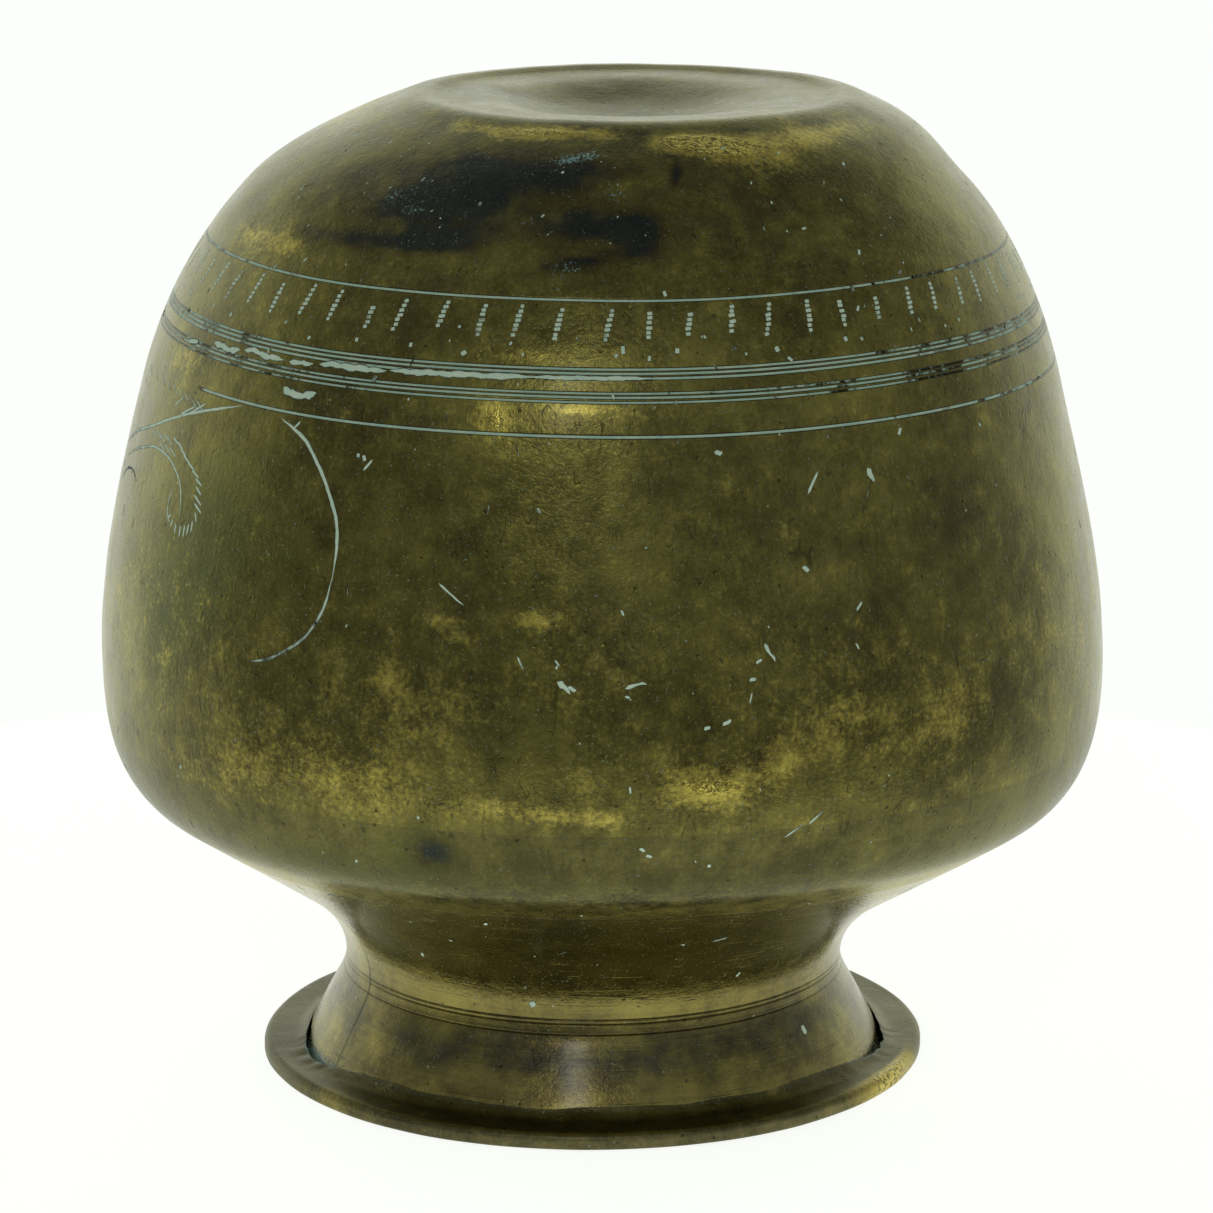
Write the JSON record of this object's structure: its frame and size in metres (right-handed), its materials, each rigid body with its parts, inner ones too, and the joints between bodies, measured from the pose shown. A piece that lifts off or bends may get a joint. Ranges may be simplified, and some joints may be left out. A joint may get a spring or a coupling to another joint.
{
  "type": "lota water pot",
  "caption": "Small round-bellied brass water pot with a waisted neck, a flared rim ring and a dished base, standing mouth down.",
  "frame": {"origin": "centre of the mouth, on the plane that the rim stands on, bottom centre of the bounding box", "axes": "+Z from the mouth to the base: the pot is stored upside down, as it stands in the picture; -Y is the front in the picture; the body is round about Z"},
  "size_m": [0.1288, 0.1288, 0.1259],
  "materials": {
    "beaten_brass": "hand-beaten, worn to olive-brown patina with gold rubbed patches",
    "turned_brass": "scraped smooth, olive-brown patina",
    "neck_brass": "turned, warm brown patina",
    "rim_brass": "rough sheet, brown patina with gold wear",
    "braze": "pale spelter, dull",
    "groove_residue": "dry pale polish and verdigris left in the engraving"
  },
  "bodies": {
    "root": {"base_bowl": "beaten_brass", "shoulder_shell": "turned_brass", "neck_collar": "neck_brass", "rim_ring": "rim_brass", "belly_braze": "braze", "neck_braze": "braze", "collar_braze": "braze", "rim_braze": "braze"}
  },
  "joints": []
}
